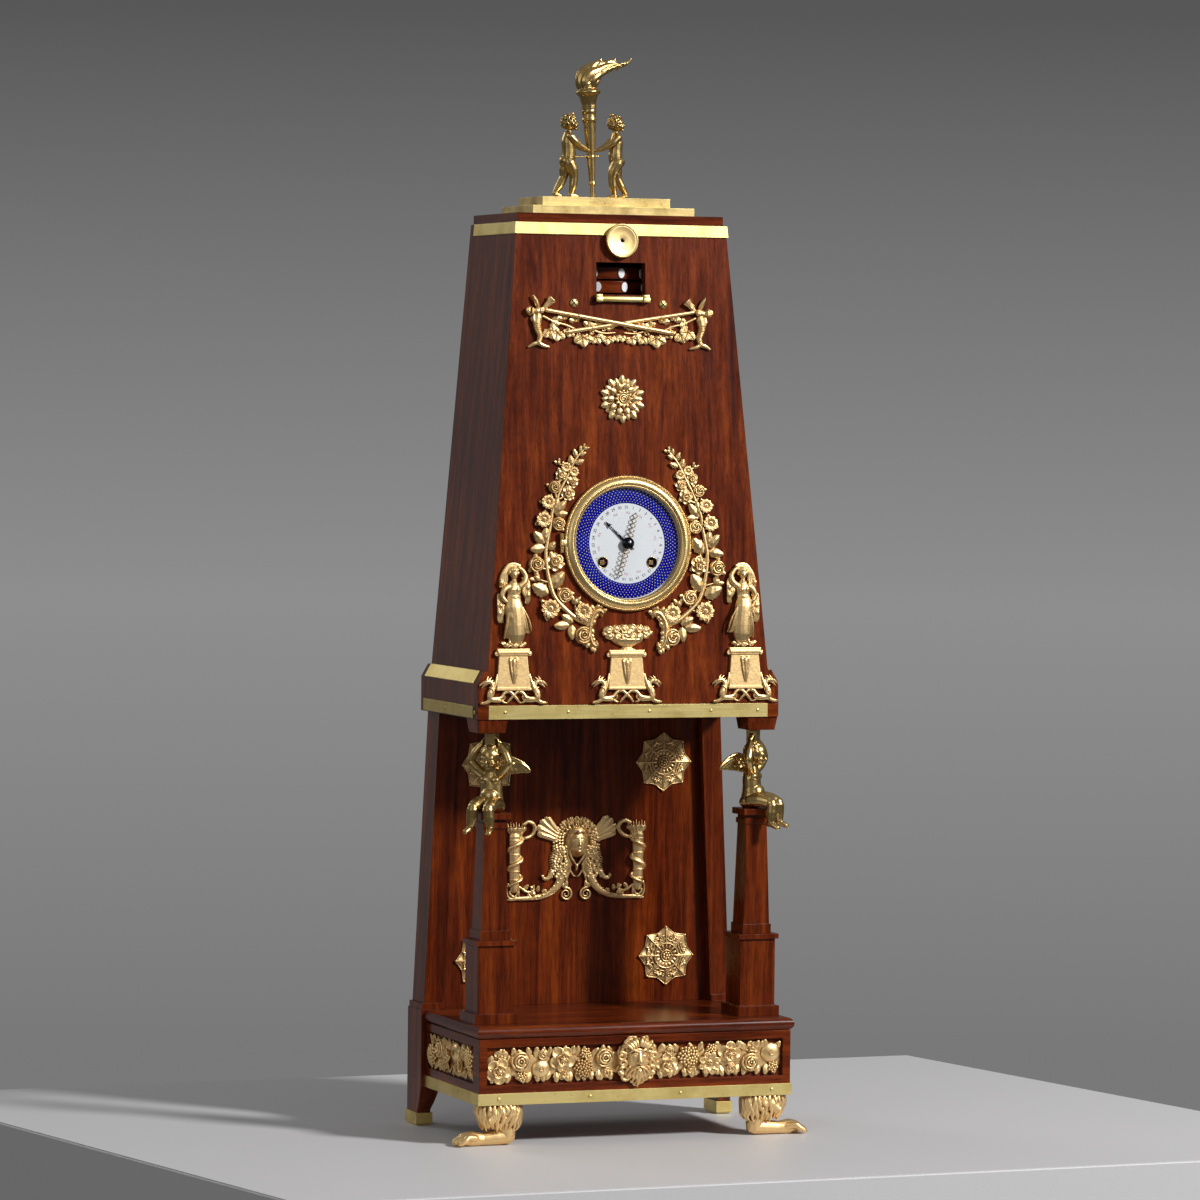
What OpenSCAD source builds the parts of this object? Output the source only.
// Pyramid mantel clock: a mahogany case on two lion paws and two rear posts,
// with gilt mounts, an open gallery, a round dial and two number rings in a window.

/* [Base] */
// Height of the lion paws, from the floor to the gilt base band
paw_h = 33.1; // [28:0.5:40]
// Half the width of the base box
base_half_w = 134.5; // [128:0.5:142]
// Depth of the base front, in front of the clock's centre plane
base_front = 79; // [74:0.5:84]
// Height of the gilt band round the foot of the base
base_band_h = 9.5; // [6:0.5:12]
// Thickness of that band, which is as much as it stands proud of the box
base_band_t = 1; // [0.6:0.1:1.5]
// Height of the base box, without its top board
base_box_h = 43.4; // [40:0.2:52]
// Thickness of the walls of the base box
base_wall = 9; // [6:0.5:12]
// Thickness of the moulded top board of the base
base_top_t = 10; // [8:0.5:14]
// How far the top board stands proud of the box
base_top_lip = 2.4; // [1:0.2:4]
// Width of the frame round each frieze
frieze_rail = 6.6; // [5:0.2:9]
// Depth of the sunk panel behind a frieze
frieze_sink = 3.5; // [2:0.5:5]
// Relief of the flower friezes, measured from the sunk panel
frieze_relief = 4; // [2:0.5:5]
// Height of the bearded mask on the base
base_mask_h = 42; // [36:1:46]
// Width of the bearded mask with its hair
base_mask_w = 38; // [32:1:44]
// How far the mask stands in front of the base box
base_mask_reach = 11; // [8:0.5:14]

/* [Lion paws] */
// Distance of each leg's centre in from the side of the base
paw_in = 20; // [16:0.5:26]
// Distance of the paws' middle behind the base front
paw_back = 9.5; // [9:0.5:13]
// Length of a foot, from the leg's centre to the toe tips
paw_l = 40; // [34:0.5:46]
// Width of the hairy skirt at the top of the leg
paw_skirt_w = 40; // [34:1:44]
// Thickness of the foot from top to sole
paw_foot_h = 12; // [9:0.5:14]

/* [Rear posts] */
// How far the rear legs stand out from the sides of the base
leg_out = 4.3; // [2:0.1:6]
// Width of a rear post, seen from the front
post_w = 17; // [14:0.5:20]
// Width of a rear leg at the foot
leg_foot_w = 11.1; // [9:0.5:14]
// Depth of a rear leg where it meets the base
leg_depth = 34; // [30:0.5:36]
// Depth of a rear leg at the foot
leg_foot_depth = 25; // [20:0.5:28]
// Distance of the upright's outer face in from the leg's, at its foot
upright_in = 3.4; // [1.5:0.1:6]
// Distance of the upright's outer face in from the case side, at its head
upright_head_in = 6.2; // [2:0.1:9]
// Depth of an upright in front of the back board
upright_depth = 17.6; // [14:0.2:20]
// Height of the moulded shoulder where the leg becomes the upright
shoulder_h = 5; // [3:0.5:8]
// Height of the gilt shoe on a rear leg
shoe_h = 9; // [7:0.5:12]
// Thickness of the gilt shoe's wall
shoe_wall = 1.4; // [1:0.1:2]
// Thickness of the dark pad under a shoe
pad_t = 1.5; // [1:0.1:2.5]

/* [Gallery] */
// Height of the open gallery, from the base to the case
gallery_h = 244.2; // [220:0.5:270]
// Distance of the front pillars' middle in from the side of the base
pillar_in = 20.9; // [19:0.1:24]
// Distance of the front pillars' middle behind the base front
pillar_back = 36.7; // [30:0.1:40]
// Half the width of the plinth's foot
plinth_foot_half = 18.2; // [16:0.2:20]
// Height of the plinth's foot
plinth_foot_h = 8; // [6:0.5:10]
// Half the width of the plinth's block
plinth_half = 15.2; // [13:0.2:16]
// Height of the plinth's block
plinth_h = 54.8; // [45:0.2:60]
// Half the width of the plinth's cap
plinth_cap_half = 17.4; // [16:0.2:19]
// Height of the plinth's cap
plinth_cap_h = 4; // [3:0.5:6]
// Half the width of the shaft's foot block
shaft_foot_half = 12.5; // [11.8:0.1:14]
// Height of the shaft's foot block
shaft_foot_h = 7.7; // [5:0.1:10]
// Half the width of the tapering shaft at its foot
shaft_low_half = 11.4; // [10:0.1:11.8]
// Half the width of the tapering shaft at its head
shaft_high_half = 9.1; // [8:0.1:9.8]
// Height of the tapering shaft
shaft_h = 82; // [70:0.5:90]
// Height of the fillet and neck under the shaft's top slab
shaft_neck_h = 7.4; // [5:0.1:9]
// Half the width of the slab on which a putto sits
seat_half = 12.6; // [11:0.1:14]
// Thickness of that slab
seat_t = 5; // [4:0.5:7]
// Half the width of a corner block where it meets the case
corner_high_half = 13.1; // [12:0.1:14]
// Half the width of a corner block at its lower face
corner_low_half = 11.4; // [10:0.1:12]
// Height of a corner block
corner_h = 11; // [8:0.5:13]
// Distance of the corner blocks' middle in from the side of the case
corner_in = 13.3; // [13:0.1:16]
// Distance of the corner blocks' middle behind the case front
corner_back = 14.4; // [13.2:0.1:18]
// Height of a seated putto, from the seat to the crown
putto_h = 52; // [46:0.5:54]
// Thickness of the gallery's back panel
gallery_panel_t = 8; // [5:0.5:10]
// Radius of the eight pointed stars, to their points
star_r = 25; // [20:0.5:28]
// Thickness of a star
star_t = 3; // [2:0.5:5]
// Distance of the upper stars' centres from the posts' inner faces
star_high_in = 32; // [28:0.2:40]
// Height of the upper stars above the gallery floor
star_high_z = 200; // [190:1:210]
// Distance of the lower stars' centres from the posts' inner faces
star_low_in = 35.6; // [32:0.2:40]
// Height of the lower stars above the gallery floor
star_low_z = 38; // [32:1:50]
// Half the width of the sun mask mount
sun_half_w = 61.6; // [55:0.2:66]
// Height of the sun mask mount
sun_h = 72; // [64:1:80]
// Height of the sun mask mount's lower edge above the gallery floor
sun_z = 84; // [74:1:95]

/* [Case] */
// Half the width of the case's lower block
case_half_w = 130.3; // [126:0.2:133]
// Depth of the case front at its foot, in front of the centre plane
face_foot = 54.9; // [53:0.2:58]
// Depth of the case front at its head
face_head = 24.9; // [22:0.2:30]
// Thickness of the case floor
floor_t = 11.1; // [9:0.1:14]
// Height of the upright part of the lower block, above the floor
block_h = 17.2; // [12:0.2:22]
// Height of the bevel on top of the lower block
bevel_h = 10; // [7:0.5:13]
// How far the bevel runs in
bevel_in = 5.7; // [4:0.1:8]
// Half the width of the pyramid where it leaves the lower block
pyramid_foot_half = 121.4; // [116:0.2:123]
// Half the width of the pyramid at its head
pyramid_head_half = 90.8; // [84:0.2:96]
// Height of the pyramid above the bevel
pyramid_h = 361.2; // [330:0.2:390]
// Thickness of the front board
front_t = 8; // [6:0.5:8.5]
// Thickness of the side boards
side_t = 9; // [6:0.5:12]
// Distance of the back board's inner face behind the centre plane
back_y = 73; // [72:0.2:76]
// Thickness of the back board
back_t = 11; // [10:0.5:13]
// Thickness of the cornice board
cornice_t = 7.6; // [5:0.2:10]
// How far the cornice board stands in from the case head
cornice_in = 1.6; // [0.5:0.1:3]
// Height of the gilt bands on the case
band_h = 9.4; // [7:0.2:10.5]
// Thickness of the gilt bands
band_t = 1.2; // [0.8:0.1:1.6]
// Width of the bare wood left at each end of the lower front band
band_corner = 9.3; // [6:0.1:12]

/* [Back door] */
// Width of the opening in the back board
door_w = 104; // [90:1:116]
// Height of the opening
door_h = 300; // [260:2:305]
// Height of the opening's lower edge above the case floor
door_z = 42; // [38:1:50]
// Gap round the door
door_gap = 0.8; // [0.5:0.1:1.5]
// Radius of the door's pivot pins
door_pin_r = 1.5; // [1:0.1:2]
// Length of each pivot pin
door_pin_l = 6; // [4:0.5:9]
// Length of the door knob
door_knob_l = 8; // [6:0.5:10]

/* [Finial] */
// Half the width of the lower gilt slab
slab_low_half = 70.4; // [64:0.2:76]
// Thickness of the lower gilt slab
slab_low_t = 6.9; // [5:0.1:9]
// Depth of the lower gilt slab
slab_low_d = 73; // [66:0.5:78]
// Half the width of the upper gilt slab
slab_high_half = 55.8; // [52:0.2:60]
// Thickness of the upper gilt slab
slab_high_t = 7.9; // [5:0.1:9]
// Depth of the upper gilt slab
slab_high_d = 55.7; // [50:0.5:60]
// Distance of both slabs' rear edges behind the centre plane
slab_rear = 65.6; // [62:0.2:70]
// Distance of the torch from the middle of the clock
torch_x = -1.5; // [-4:0.5:3]
// Height of the torch, to the rim of its bowl
torch_h = 90; // [80:1:98]
// How far the torch leans to the left, in degrees
torch_lean = 3.4; // [0:0.1:5]
// Height of the flame above the rim of the bowl
flame_h = 27.9; // [22:0.1:32]
// Radius of the torch's bowl
torch_r = 10.4; // [8:0.1:12]
// Distance of each putto from the torch
torch_putto_x = 21.5; // [20:0.5:24]
// Height of a putto
torch_putto_h = 70; // [64:1:76]

/* [Dial] */
// Height of the dial's centre above the case floor
dial_z = 130; // [124:1:136]
// Radius of the round opening in the front board
dial_hole_r = 47; // [46:0.5:48]
// Thickness of the enamel dial
dial_t = 1.2; // [1:0.1:1.5]
// Outer radius of the bezel
bezel_r = 55.5; // [54:0.1:57]
// Inner radius of the bezel
bezel_in_r = 45.3; // [44:0.1:45.5]
// How far the bezel stands out from the front board
bezel_h = 7; // [5.5:0.1:9]
// Rise of the domed glass above the bezel
glass_rise = 3; // [2:0.5:5]
// Thickness of the glass
glass_t = 1.2; // [1:0.1:1.5]
// Distance of each winding hole from the middle
wind_x = 21.25; // [21:0.05:22]
// Distance of the winding holes below the dial's centre
wind_z = 15.5; // [15:0.05:16]
// Radius of a winding hole
wind_hole_r = 4.2; // [3.6:0.1:5]
// Side of a winding square
wind_square = 3.8; // [3:0.1:4.2]
// Length of the hour hand
hour_hand_l = 26; // [20:0.5:30]
// Length of the minute hand
minute_hand_l = 29; // [26:0.5:32]
// Length of the date hand
date_hand_l = 25.5; // [20:0.5:30]
// Minutes past twelve that the hands show
minutes_shown = 32.9; // [0:0.1:59]
// Direction of the date hand, in degrees from the top of the dial
date_angle = -47; // [-90:1:-30]

/* [Movement] */
// Radius of the movement plates
plate_r = 52; // [50:0.5:54]
// Thickness of the movement plates
plate_t = 2.5; // [2:0.1:3]
// Distance between the movement plates
plate_gap = 29.5; // [29:0.1:32]
// Radius of the spring barrels
barrel_r = 18.4; // [16:0.1:18.5]
// Length of the pendulum, from its eye to the centre of the bob
pendulum_l = 128; // [110:1:134]
// Radius of the pendulum bob
bob_r = 24; // [18:0.5:26]
// Radius of the bell
bell_r = 26; // [22:0.5:28]
// Running gap round every shaft, on the radius
run_gap = 0.05; // [0.03:0.01:0.08]

/* [Number rings] */
// Distance of the window's centre from the middle
window_x = -1.5; // [-3:0.5:2]
// Height of the window's lower edge above the case floor
window_z = 331; // [328:1:333]
// Width of the window
window_w = 42.5; // [38:0.5:46]
// Height of the window
window_h = 26; // [24:0.5:27]
// Radius of the two wooden rings
ring_r = 43; // [36:0.5:43.5]
// Height of each ring
ring_h = 9.6; // [8:0.2:10.5]
// Gap between the rings
ring_gap = 1.6; // [1:0.1:2.5]
// Distance from the front board's face to the rings
ring_set_back = 13; // [12:0.5:16]
// Enamel cartouches on each ring
cartouches = 12; // [10:1:14]
// Radius of the spindle that carries the rings
spindle_r = 3; // [2:0.1:4]
// Distance of the shelf's screws from their middle
shelf_screw_x = 38.6; // [34:0.2:42]
// Height of the turning knob above the window's upper edge
knob_z = 17.4; // [16:0.2:19]
// Radius of the turning knob
knob_r = 14; // [11:0.5:15]

/* [Front mounts] */
// Thickness of the flat mounts on the front board
mount_t = 3; // [2:0.5:4]
// Half the width of the staff garland
garland_half = 82; // [78:0.5:84]
// Height of the staff garland above the case floor
garland_z = 309.5; // [307:0.5:312]
// Distance of the garland from the middle
garland_x = -4; // [-6:0.5:3]
// Radius of the rosette
rosette_r = 20.3; // [17:0.1:23]
// Height of the rosette's centre above the case floor
rosette_z = 246.5; // [238:0.5:252]
// Half the width of the wreath, at its stems
wreath_half = 72.4; // [71:0.2:73]
// Height of the wreath's upper ends above the middle of the dial
wreath_rise = 73; // [71:0.5:75]
// Radius of the largest flower on the wreath
flower_r = 8.4; // [7.8:0.1:8.6]
// Distance of the altar from the middle
altar_x = -3; // [-4:0.5:2]
// Half the width of the altar's block at its foot
altar_half = 16; // [14:0.2:17]
// Distance of the side pedestals' middle in from the side of the case
pedestal_in = 29.9; // [29.3:0.1:34]
// Half the width of a side pedestal's block at its foot
pedestal_half = 14.6; // [13:0.2:15.6]
// Half the width over the dragons at the foot of each pedestal
dragon_half = 29; // [26:0.5:29.5]
// Height of the pedestals, with their dragon feet
pedestal_h = 45; // [40:0.5:47]
// Height of the dancing figures
dancer_h = 69; // [62:0.5:74]

/* [Hidden] */
$fn = 48;
// A hair's breadth that keeps a cutter from ending on a face
eps = 0.01;
// A length beyond every size of the clock, for prisms that are cut to their place
far = 1000;
// Facets of the round strokes in carved figures
limb_fn = 10;

wood = "#7a2a10";
wood_dark = "#3c1508";
gilt = "#d9b35a";
brass = "#b9974a";
steel = "#8f9499";
black = "#1a1a1c";
enamel = "#f4f2ec";

// Places along the width and depth
leg_half_w = base_half_w + leg_out;
upright_foot_x = leg_half_w - upright_in;
upright_head_x = case_half_w - upright_head_in;
paw_x = base_half_w - paw_in;
paw_y = base_front - paw_back;
paw_toe = paw_x + paw_l;
pillar_x = base_half_w - pillar_in;
pillar_y = base_front - pillar_back;
corner_x = case_half_w - corner_in;
corner_y = face_foot - corner_back;
pedestal_x = case_half_w - pedestal_in;

// Heights of the stacked parts
band_z = paw_h;
box_z = band_z + base_band_h;
top_board_z = box_z + base_box_h;
gallery_z = top_board_z + base_top_t;
floor_z = gallery_z + gallery_h;
case_z = floor_z + floor_t;
block_top_z = case_z + block_h;
bevel_top_z = block_top_z + bevel_h;
head_z = bevel_top_z + pyramid_h;
slab_low_z = head_z + cornice_t;
slab_high_z = slab_low_z + slab_low_t;
finial_z = slab_high_z + slab_high_t;
dial_cz = case_z + dial_z;
rear_y = back_y + back_t;
leg_y = rear_y - leg_depth + 0.5;

// The front board leans back by this angle
lean = atan((face_foot - face_head) / (head_z - case_z));
function face_depth(z) = face_foot - (z - case_z) * tan(lean);

// Half the width of the pyramid at a height
function side_half(z) = pyramid_foot_half
    - (z - bevel_top_z) * (pyramid_foot_half - pyramid_head_half) / pyramid_h;
// Distance of an upright's outer face from the middle at a height
function upright_x(z) = upright_foot_x
    - (z - gallery_z) * (upright_foot_x - upright_head_x) / gallery_h;

// Stands its children on the sloping front: x to the right, y up the slope, z outwards
module on_face(z, x = 0) {
    translate([x, -face_depth(z), z])
        rotate([90 - lean, 0, 0])
            children();
}

// Stands its children on an upright plane that looks forwards
module facing(x, y, z) {
    translate([x, y, z])
        rotate([90, 0, 0])
            children();
}

module both_sides() {
    children();
    mirror([1, 0, 0])
        children();
}

// A block given by its lowest and highest corners
module block(low, high) {
    translate(low)
        cube(high - low);
}

// A square block that stands on z, with half widths below and above
module taper_block(x, y, z, low_half, high_half, h) {
    translate([x, y, z])
        rotate(45)
            cylinder(h = h, r1 = low_half * sqrt(2), r2 = high_half * sqrt(2), $fn = 4);
}

// A round stroke between two balls
module limb(a, ra, b, rb) {
    hull() {
        translate(a)
            sphere(ra, $fn = limb_fn);
        translate(b)
            sphere(rb, $fn = limb_fn);
    }
}

// Outline of a leaf with its stalk end at the origin, pointing up
module leaf(l, w) {
    r = (l * l / 4 + w * w / 4) / w;
    intersection() {
        translate([r - w / 2, l / 2])
            circle(r);
        translate([w / 2 - r, l / 2])
            circle(r);
    }
}

// Outline of a flower with round petals
module flower(r, petals = 5) {
    circle(r * 0.7);
    for (i = [0 : petals - 1])
        rotate(i * 360 / petals)
            translate([r * 0.62, 0])
                circle(r * 0.4);
}

// Outline of a wheel with straight sided teeth, one of them on the x axis
module gear_outline(teeth, mod) {
    step = 360 / teeth;
    tip = mod * (teeth / 2 + 0.85);
    root = mod * (teeth / 2 - 1.1);
    polygon([
        for (i = [0 : teeth - 1], p = [[-0.25, root], [-0.09, tip], [0.09, tip], [0.25, root]])
            p[1] * [cos((i + p[0]) * step), sin((i + p[0]) * step)]
    ]);
}

// A gear whose lower face is at c, bored for its shaft
module gear(teeth, mod, c, t, bore = 0, turn = 0) {
    translate([0, 0, c])
        linear_extrude(t)
            difference() {
                rotate(turn)
                    gear_outline(teeth, mod);
                if (bore > 0)
                    circle(bore);
            }
}

// A shaft from c to d
module shaft(r, c, d) {
    translate([0, 0, c])
        cylinder(h = d - c, r = r);
}

/* Base */

frieze_low = box_z + frieze_rail;
frieze_high = top_board_z - frieze_rail;
frieze_half = base_half_w - frieze_rail;
side_frieze_front = -base_front + 15;
side_frieze_rear = leg_y - frieze_rail / 2;
post_in = leg_half_w - post_w;
paw_seat_t = base_band_h;

module base_carcass() {
    color(wood)
        difference() {
            union() {
                block([-base_half_w, -base_front, box_z], [base_half_w, leg_y, top_board_z]);
                block([-post_in, leg_y - eps, box_z], [post_in, rear_y, top_board_z]);
                block([-base_half_w, -base_front, band_z], [base_half_w, leg_y, box_z + eps]);
                block([-post_in, leg_y - eps, band_z], [post_in, rear_y, box_z + eps]);
            }
            block([-base_half_w + base_wall, -base_front + base_wall, band_z + paw_seat_t],
                  [base_half_w - base_wall, leg_y - base_wall, top_board_z + 1]);
            block([-frieze_half, -base_front - 1, frieze_low],
                  [frieze_half, -base_front + frieze_sink, frieze_high]);
            both_sides()
                block([base_half_w - frieze_sink, side_frieze_front, frieze_low],
                      [base_half_w + 1, side_frieze_rear, frieze_high]);
        }
}

// A board's outline, w wide on each side of the middle, with half round edges
module round_edged(w_low, w_high, t) {
    r = t / 2;
    translate([-w_low + r, 0])
        square([w_low + w_high - t, t]);
    for (x = [-w_low + r, w_high - r])
        translate([x, r])
            circle(r);
}

module base_top_board() {
    w = base_half_w + base_top_lip;
    color(wood)
        union() {
            intersection() {
                translate([0, 0, top_board_z])
                    rotate([90, 0, 0])
                        linear_extrude(far, center = true)
                            round_edged(w, w, base_top_t);
                translate([0, 0, top_board_z])
                    rotate([90, 0, 90])
                        linear_extrude(far, center = true)
                            round_edged(base_front + base_top_lip, far, base_top_t);
                block([-w - 1, -far, top_board_z - 1], [w + 1, leg_y, gallery_z + 1]);
            }
            block([-post_in, leg_y - eps, top_board_z], [post_in, rear_y, gallery_z]);
        }
}

module base_band() {
    out = base_half_w + base_band_t;
    color(gilt)
        difference() {
            block([-out, -base_front - base_band_t, band_z], [out, leg_y, box_z - 0.1]);
            block([-base_half_w, -base_front, band_z - 1], [base_half_w, leg_y + 1, box_z]);
        }
}

// A row of flowers and leaves that fills a strip, drawn upright round the origin
module flower_strip(l, h, t) {
    pitch = h * 0.74;
    count = floor(l / pitch);
    step = (l - h * 0.84) / (count - 1);
    linear_extrude(t * 0.55)
        union() {
            square([l - h * 0.3, h * 0.5], center = true);
            for (i = [0 : count - 1])
                translate([(i - (count - 1) / 2) * step, (i % 2 - 0.5) * h * 0.1])
                    circle(h * 0.42, $fn = 20);
        }
    for (i = [0 : count - 1])
        translate([(i - (count - 1) / 2) * step, (i % 2 - 0.5) * h * 0.1, 0])
            cylinder(h = t, r1 = h * 0.34, r2 = h * 0.2, $fn = 20);
}

module frieze_panels() {
    h = frieze_high - frieze_low - 0.6;
    front_l = 2 * frieze_half - 0.8;
    side_l = side_frieze_rear - side_frieze_front - 0.8;
    side_y = (side_frieze_rear + side_frieze_front) / 2;
    mid_z = (frieze_high + frieze_low) / 2;
    color(gilt) {
        facing(0, -base_front + frieze_sink, mid_z)
            flower_strip(front_l, h, frieze_relief);
        both_sides()
            translate([base_half_w - frieze_sink, side_y, mid_z])
                rotate([90, 0, 90])
                    flower_strip(side_l, h, frieze_relief);
    }
}

// The bearded head, in the middle of the front frieze
module base_mask() {
    r = base_mask_w / 2;
    y = -base_front + frieze_sink - frieze_relief - 0.2;
    reach = base_mask_reach + y + base_front;
    mid_z = (box_z + top_board_z) / 2 + 0.4;
    color(gilt)
        facing(0, y, mid_z)
            union() {
                linear_extrude(reach * 0.35)
                    hull() {
                        translate([0, base_mask_h / 2 - r * 0.86])
                            circle(r * 0.86, $fn = 32);
                        translate([0, -base_mask_h / 2 + r * 0.62])
                            circle(r * 0.62, $fn = 32);
                    }
                linear_extrude(reach * 0.62)
                    hull() {
                        translate([0, base_mask_h / 2 - r * 0.8])
                            circle(r * 0.62, $fn = 32);
                        translate([0, -base_mask_h / 2 + r * 0.62])
                            circle(r * 0.42, $fn = 32);
                    }
                linear_extrude(reach * 0.82)
                    translate([0, 1])
                        scale([0.72, 1])
                            circle(r * 0.62, $fn = 32);
                translate([0, -1, 0])
                    cylinder(h = reach, r1 = base_mask_w * 0.14, r2 = base_mask_w * 0.06);
            }
}

// One lion's leg: a hairy skirt, a shank and a foot that points outwards
module lion_paw() {
    skirt_r = 10.5;
    skirt_z = paw_h - 8.5;
    foot_r = paw_foot_h / 2;
    heel_x = paw_x - 8;
    toe_r = 4.2;
    intersection() {
        union() {
            for (dx = [-1, 0, 1])
                limb(
                    [paw_x + dx * (paw_skirt_w / 2 - skirt_r), -paw_y, skirt_z + 6], skirt_r,
                    [paw_x + dx * (paw_skirt_w / 2 - skirt_r - 4) - 2, -paw_y, skirt_z - 2],
                    skirt_r - 2.5
                );
            limb([paw_x - 5, -paw_y, skirt_z - 4], 9, [heel_x + 1, -paw_y, foot_r + 1], foot_r + 1.5);
            limb([heel_x, -paw_y, foot_r], foot_r + 1.5, [paw_toe - 14, -paw_y, foot_r - 0.5], foot_r);
            for (dy = [-7, -2.4, 2.4, 7])
                limb([paw_toe - 16, -paw_y + dy * 0.8, foot_r], toe_r,
                     [paw_toe - toe_r - abs(dy) * 0.35 + 0.84, -paw_y + dy, toe_r - 0.6], toe_r);
        }
        block([0, -far, 0], [far, 0, paw_h]);
    }
}

module lion_paws() {
    color(gilt)
        both_sides()
            lion_paw();
}

/* Rear posts */

upright_y = back_y - upright_depth;
leg_foot_y = rear_y + 0.5 - leg_foot_depth;

module rear_post() {
    union() {
        intersection() {
            rotate([90, 0, 0])
                translate([0, 0, -far])
                    linear_extrude(far)
                        polygon([
                            [leg_half_w, pad_t], [leg_half_w, gallery_z], [post_in, gallery_z],
                            [post_in, band_z], [post_in + 2.6, band_z - 10],
                            [leg_half_w - leg_foot_w - 0.4, shoe_h + 4],
                            [leg_half_w - leg_foot_w, pad_t]
                        ]);
            rotate([90, 0, 90])
                linear_extrude(far)
                    polygon([
                        [rear_y + 0.5, pad_t], [rear_y + 0.5, gallery_z], [leg_y, gallery_z],
                        [leg_y, band_z], [leg_y + 4, band_z - 12],
                        [leg_foot_y - 0.6, shoe_h + 4], [leg_foot_y, pad_t]
                    ]);
        }
        block([upright_x(gallery_z) - post_w, upright_y - 2, gallery_z - eps],
              [leg_half_w - 1, rear_y, gallery_z + shoulder_h]);
        rotate([90, 0, 0])
            translate([0, 0, -back_y])
                linear_extrude(upright_depth)
                    polygon([
                        [upright_x(gallery_z), gallery_z], [upright_x(floor_z), floor_z],
                        [upright_x(floor_z) - post_w, floor_z], [upright_x(gallery_z) - post_w, gallery_z]
                    ]);
    }
}

module rear_posts() {
    color(wood)
        both_sides()
            rear_post();
}

module rear_shoes() {
    out = leg_half_w + shoe_wall;
    in = leg_half_w - leg_foot_w - shoe_wall - 0.4;
    color(gilt)
        both_sides()
            difference() {
                union() {
                    block([in, leg_foot_y - shoe_wall - 0.6, pad_t],
                          [out, rear_y + 0.5 + shoe_wall, pad_t + shoe_h]);
                    block([in + 1.5, leg_foot_y + 1, 0], [out - 1.5, rear_y - 1, pad_t + eps]);
                }
                block([in + shoe_wall, leg_foot_y - 0.6, pad_t],
                      [leg_half_w, rear_y + 0.5, pad_t + shoe_h + 1]);
            }
}

/* Gallery */

gallery_front_y = back_y - gallery_panel_t;

module gallery_panel() {
    color(wood)
        rotate([90, 0, 0])
            translate([0, 0, -back_y])
                linear_extrude(gallery_panel_t)
                    polygon([
                        [-upright_x(gallery_z) + post_w, gallery_z],
                        [upright_x(gallery_z) - post_w, gallery_z],
                        [upright_x(floor_z) - post_w, floor_z],
                        [-upright_x(floor_z) + post_w, floor_z]
                    ]);
}

// A star of eight points with hollow sides and a boss
module gallery_star() {
    linear_extrude(star_t * 0.6)
        difference() {
            circle(star_r, $fn = 8);
            for (i = [0 : 7])
                rotate(i * 45 + 22.5)
                    translate([star_r * 1.13, 0])
                        circle(star_r * 0.42, $fn = 24);
        }
    cylinder(h = star_t, r1 = star_r * 0.5, r2 = star_r * 0.4);
    cylinder(h = star_t + 1.5, r1 = star_r * 0.2, r2 = star_r * 0.12);
}

module gallery_stars() {
    spots = [[star_high_in, star_high_z], [star_low_in, star_low_z]];
    color(gilt)
        for (s = [-1, 1], p = spots)
            facing(s * (upright_x(gallery_z + p[1]) - post_w - p[0]), gallery_front_y, gallery_z + p[1])
                gallery_star();
}

// A face in a ring of rays, with wings, scrolls and a torch at each end
module sun_mask_mount() {
    h = sun_h;
    face_z = h * 0.69;
    torch_r = 4.6;
    torch_mid = sun_half_w - torch_r - 2;
    color(gilt)
        facing(0, gallery_front_y, gallery_z + sun_z)
            union() {
                linear_extrude(mount_t)
                    union() {
                        translate([0, face_z])
                            circle(h * 0.31);
                        for (s = [-1, 1]) {
                            polygon([
                                [s * 2, h * 0.3], [s * 18, h * 0.62], [s * 25, h * 0.45],
                                [s * 22, h * 0.3], [s * 33, h * 0.13], [s * 46, h * 0.09],
                                [s * sun_half_w, h * 0.09], [s * sun_half_w, h * 0.03],
                                [s * 38, h * 0.03], [s * 22, h * 0.1], [s * 10, h * 0.26]
                            ]);
                            polygon([
                                [s * 17, h * 0.72], [s * 41, h * 0.99], [s * 45, h * 0.9],
                                [s * 42, h * 0.78], [s * 20, h * 0.66]
                            ]);
                            translate([s * 9, h * 0.085])
                                circle(5.6);
                            translate([s * torch_mid, h * 0.09])
                                translate([-torch_r, 0])
                                    square([2 * torch_r, h * 0.76]);
                            translate([s * torch_mid, h * 0.85])
                                square([16, h * 0.1], center = true);
                            polygon([
                                [s * (torch_mid - 3), h * 0.78], [s * 40, h * 0.84],
                                [s * 41, h * 0.91], [s * (torch_mid - 3), h * 0.9]
                            ]);
                        }
                    }
                translate([0, face_z + 1, 0])
                    cylinder(h = mount_t + 2.5, r1 = 12.5, r2 = 10.5);
                translate([0, face_z + 1, mount_t])
                    cylinder(h = 6, r1 = 9, r2 = 5);
            }
}

module front_plinths() {
    z1 = gallery_z + plinth_foot_h;
    z2 = z1 + plinth_h;
    color(wood)
        for (s = [-1, 1])
            translate([s * pillar_x, -pillar_y, 0])
                union() {
                    block([-plinth_foot_half, -plinth_foot_half, gallery_z],
                          [plinth_foot_half, plinth_foot_half, z1]);
                    block([-plinth_half, -plinth_half, z1 - eps], [plinth_half, plinth_half, z2]);
                    block([-plinth_cap_half, -plinth_cap_half, z2 - eps],
                          [plinth_cap_half, plinth_cap_half, z2 + plinth_cap_h]);
                }
}

plinth_top_z = gallery_z + plinth_foot_h + plinth_h + plinth_cap_h;
seat_z = plinth_top_z + shaft_foot_h + shaft_h + shaft_neck_h + seat_t;

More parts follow.
